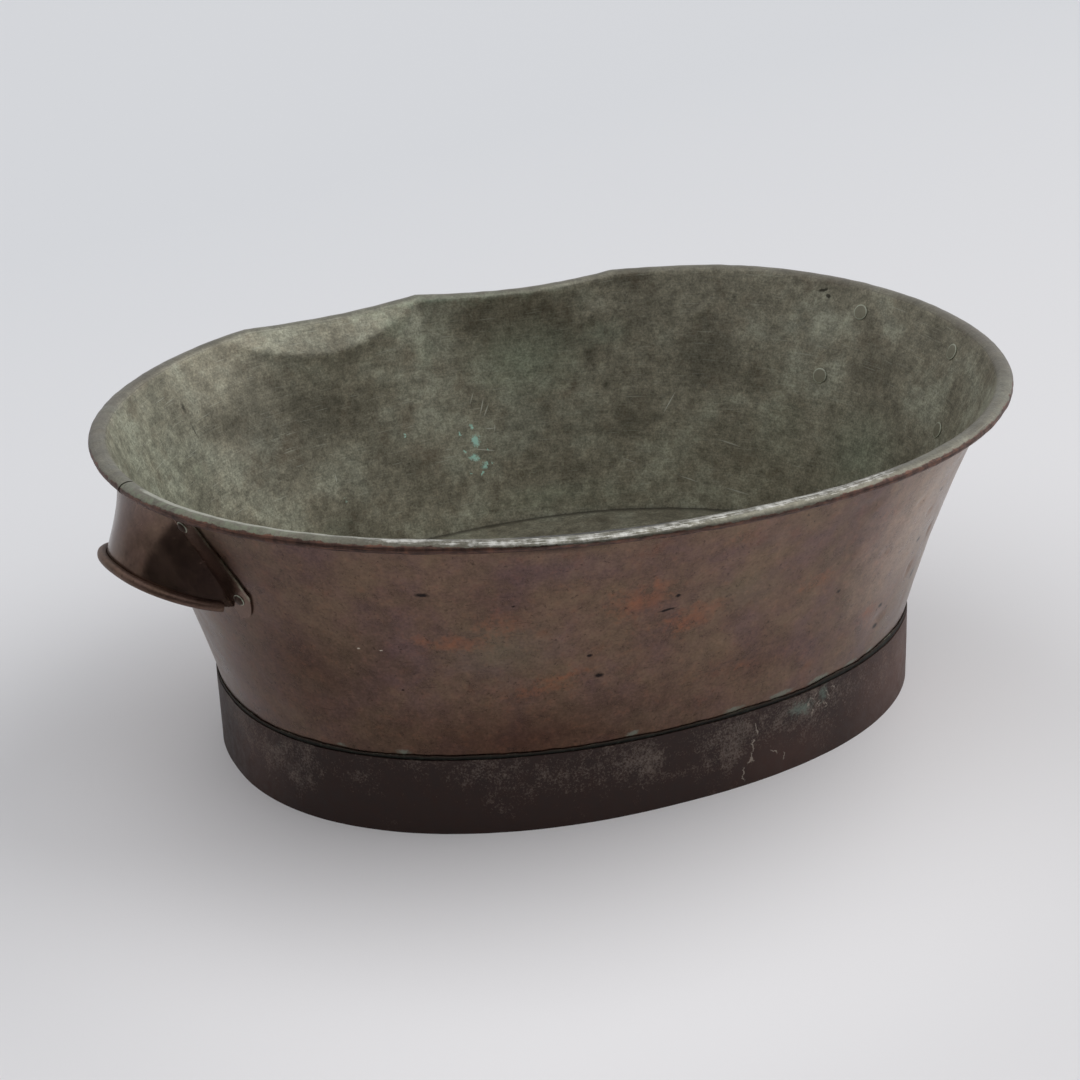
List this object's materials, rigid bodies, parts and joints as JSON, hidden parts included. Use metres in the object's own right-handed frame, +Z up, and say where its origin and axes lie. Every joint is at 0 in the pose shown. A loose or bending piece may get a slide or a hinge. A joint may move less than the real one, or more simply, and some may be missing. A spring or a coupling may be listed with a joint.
{
  "type": "oval copper tub",
  "caption": "Antique oval wash tub of sheet copper with a flared bowl, a wired rim, an iron foot band and riveted pocket handles.",
  "frame": {"origin": "on the ground, under the middle of the tub's outline seen from above", "axes": "+X along the tub towards its right-hand handle, +Y towards the dented back of the rim, +Z up"},
  "size_m": [0.7376, 0.5594, 0.2647],
  "materials": {
    "copper_patina": "satin",
    "handle_copper": "satin",
    "tinned_copper": "matte",
    "solder": "matte",
    "band_iron": "matte",
    "wire_iron": "matte",
    "rivet_copper": "matte"
  },
  "bodies": {
    "root": {"wall_front": "copper_patina", "wall_back": "copper_patina", "rim_wire": "wire_iron", "floor_pan": "tinned_copper", "foot_seam": "solder", "foot_band": "band_iron", "handle_left": "handle_copper", "handle_right": "handle_copper", "handle_left_wire": "wire_iron", "handle_right_wire": "wire_iron", "handle_left_rivets": "rivet_copper", "handle_right_rivets": "rivet_copper"}
  },
  "joints": []
}
